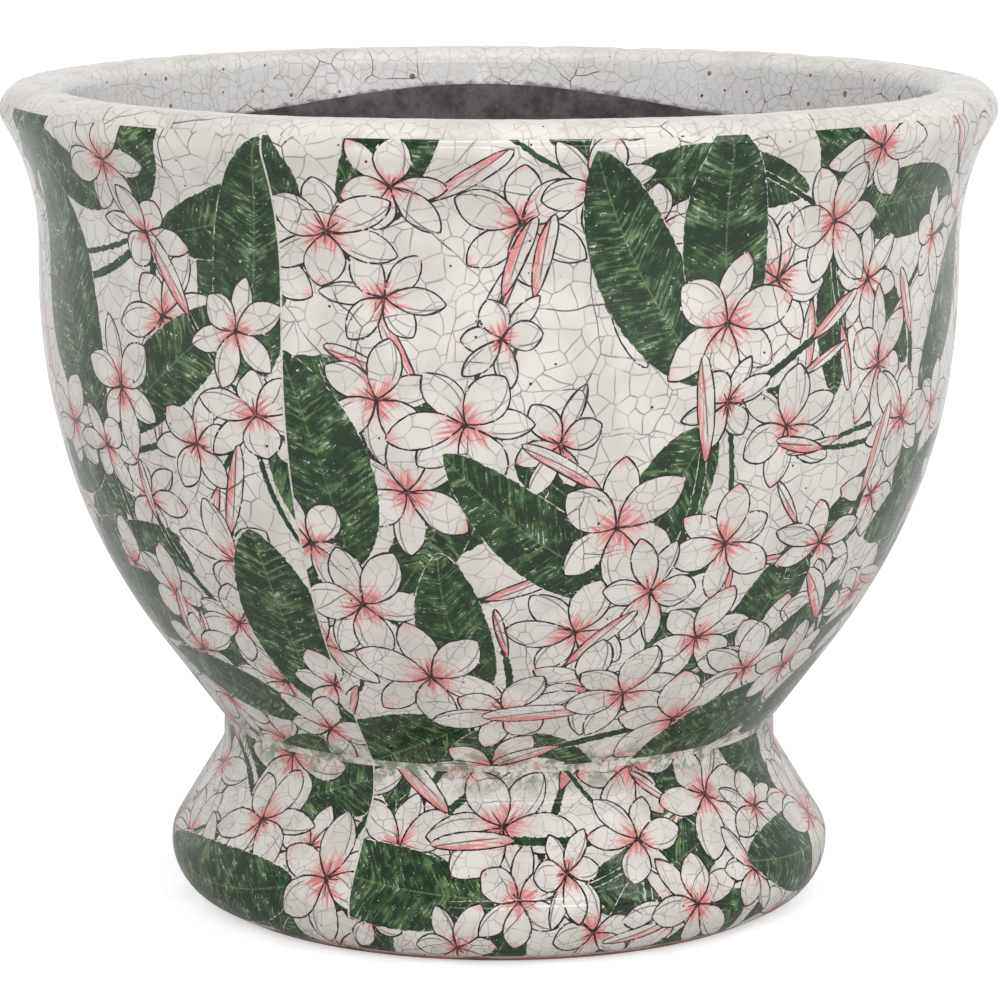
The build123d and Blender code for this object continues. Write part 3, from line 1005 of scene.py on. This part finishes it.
for node in ("bowl_body", "foot_body", "slip_joint"):
    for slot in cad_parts[node].material_slots:
        slot.material = clay_material

# Camera, at the photograph's distance, height and tilt
camera_distance = 1.300
camera_height = 0.3532
camera_tilt = 0.177
focal_pixels = 4296.1
picture_pixels = 1000
camera_data = bpy.data.cameras.new("camera")
camera_data.sensor_width = 36.0
camera_data.lens = focal_pixels / picture_pixels * camera_data.sensor_width
camera_data.shift_x = 1 / picture_pixels
camera_data.clip_start = 0.01
camera = bpy.data.objects.new("camera", camera_data)
camera.location = (0, -camera_distance, camera_height)
camera.rotation_euler = (pi / 2 - camera_tilt, 0, 0)
bpy.context.collection.objects.link(camera)
bpy.context.scene.camera = camera
bpy.context.scene.view_settings.view_transform = "Standard"


# White studio: a pale floor, a white surround and soft boxes

def soft_box(name, place, aim, width, depth, power):
    data = bpy.data.lights.new(name, "AREA")
    data.shape = "RECTANGLE"
    data.size, data.size_y, data.energy = width, depth, power
    lamp = bpy.data.objects.new(name, data)
    lamp.location = place
    way = np.subtract(aim, place)
    level = np.hypot(way[0], way[1])
    lamp.rotation_euler = (pi / 2 + atan2(way[2], level), 0, atan2(way[1], way[0]) - pi / 2)
    bpy.context.collection.objects.link(lamp)
    return lamp


soft_box("top_box", (0.2, -0.6, 1.8), (0, 0, 0.1), 1.6, 1.2, 6.5)
soft_box("front_box", (0.4, -2.2, 1.3), (0, 0, 0.12), 2.6, 0.5, 1.7)
soft_box("low_box", (0.3, -2.1, 0.42), (0, 0, 0.1), 2.0, 0.16, 6)
soft_box("glint_strip", (0.25, -1.9, 1.25), (0, 0, 0.12), 1.8, 0.02, 6)
soft_box("left_box", (-1.6, -1.2, 0.9), (0, 0, 0.12), 0.6, 1.2, 1.5)
soft_box("right_box", (1.5, -1.3, 1.0), (0, 0, 0.12), 0.5, 1.1, 4)

floor_mesh = bpy.data.meshes.new("floor")
reach = 6.0
floor_mesh.from_pydata([(-reach, -reach, 0), (reach, -reach, 0), (reach, reach, 0), (-reach, reach, 0)], [], [(0, 1, 2, 3)])
floor = bpy.data.objects.new("floor", floor_mesh)
bpy.context.collection.objects.link(floor)
floor_paint = Paint("pale_floor")
floor_paint.shader.inputs["Base Color"].default_value = (0.68, 0.68, 0.68, 1)
floor_paint.shader.inputs["Roughness"].default_value = 0.9
floor_paint.shader.inputs["Specular IOR Level"].default_value = 0.0
floor_paint.shader.inputs["Emission Color"].default_value = (1, 1, 1, 1)
rays = floor_paint.node("ShaderNodeLightPath").outputs
away = floor_paint.node("ShaderNodeVectorMath", {"operation": "LENGTH"}, {0: floor_paint.place}).outputs["Value"]
near_glow = floor_paint.maths("MULTIPLY", floor_paint.step(away, 70.0, 96.0), 0.62)
far_glow = floor_paint.step(away, 150.0, 1300.0)
seen_glow = floor_paint.maths("MULTIPLY", rays["Is Camera Ray"], floor_paint.maths("MAXIMUM", near_glow, far_glow))
mirror_ray = floor_paint.maths("MAXIMUM", rays["Is Glossy Ray"], rays["Is Transmission Ray"])
mirror_glow = floor_paint.maths("MULTIPLY", mirror_ray, floor_paint.maths("MULTIPLY", far_glow, 0.35))
floor_paint.feed(floor_paint.shader.inputs["Emission Strength"], floor_paint.maths("MAXIMUM", seen_glow, mirror_glow))
floor_mesh.materials.append(floor_paint.material)

# The world: white to the eye, dimmer as a light, and darker in the gloss towards the front
world_light = 0.69
world = bpy.data.worlds.new("studio")
bpy.context.scene.world = world
world.use_nodes = True
nodes, links = world.node_tree.nodes, world.node_tree.links
background = nodes["Background"]
background.inputs["Color"].default_value = (1, 1, 1, 1)
path = nodes.new("ShaderNodeLightPath")
way = nodes.new("ShaderNodeSeparateXYZ")
links.new(nodes.new("ShaderNodeTexCoord").outputs["Generated"], way.inputs[0])
mirrored = nodes.new("ShaderNodeMapRange")
for socket, value in (("From Min", -0.9), ("From Max", 0.85), ("To Min", 0.25), ("To Max", 0.84)):
    mirrored.inputs[socket].default_value = value
links.new(way.outputs["Y"], mirrored.inputs["Value"])
seen = nodes.new("ShaderNodeMath")
seen.operation = "MAXIMUM"
links.new(path.outputs["Is Camera Ray"], seen.inputs[0])
links.new(path.outputs["Is Transmission Ray"], seen.inputs[1])
lit = nodes.new("ShaderNodeMix")
lit.inputs[2].default_value = world_light
links.new(path.outputs["Is Glossy Ray"], lit.inputs[0])
links.new(mirrored.outputs[0], lit.inputs[3])
strength = nodes.new("ShaderNodeMix")
strength.inputs[3].default_value = 1.0
links.new(seen.outputs[0], strength.inputs[0])
links.new(lit.outputs[0], strength.inputs[2])
links.new(strength.outputs[0], background.inputs["Strength"])
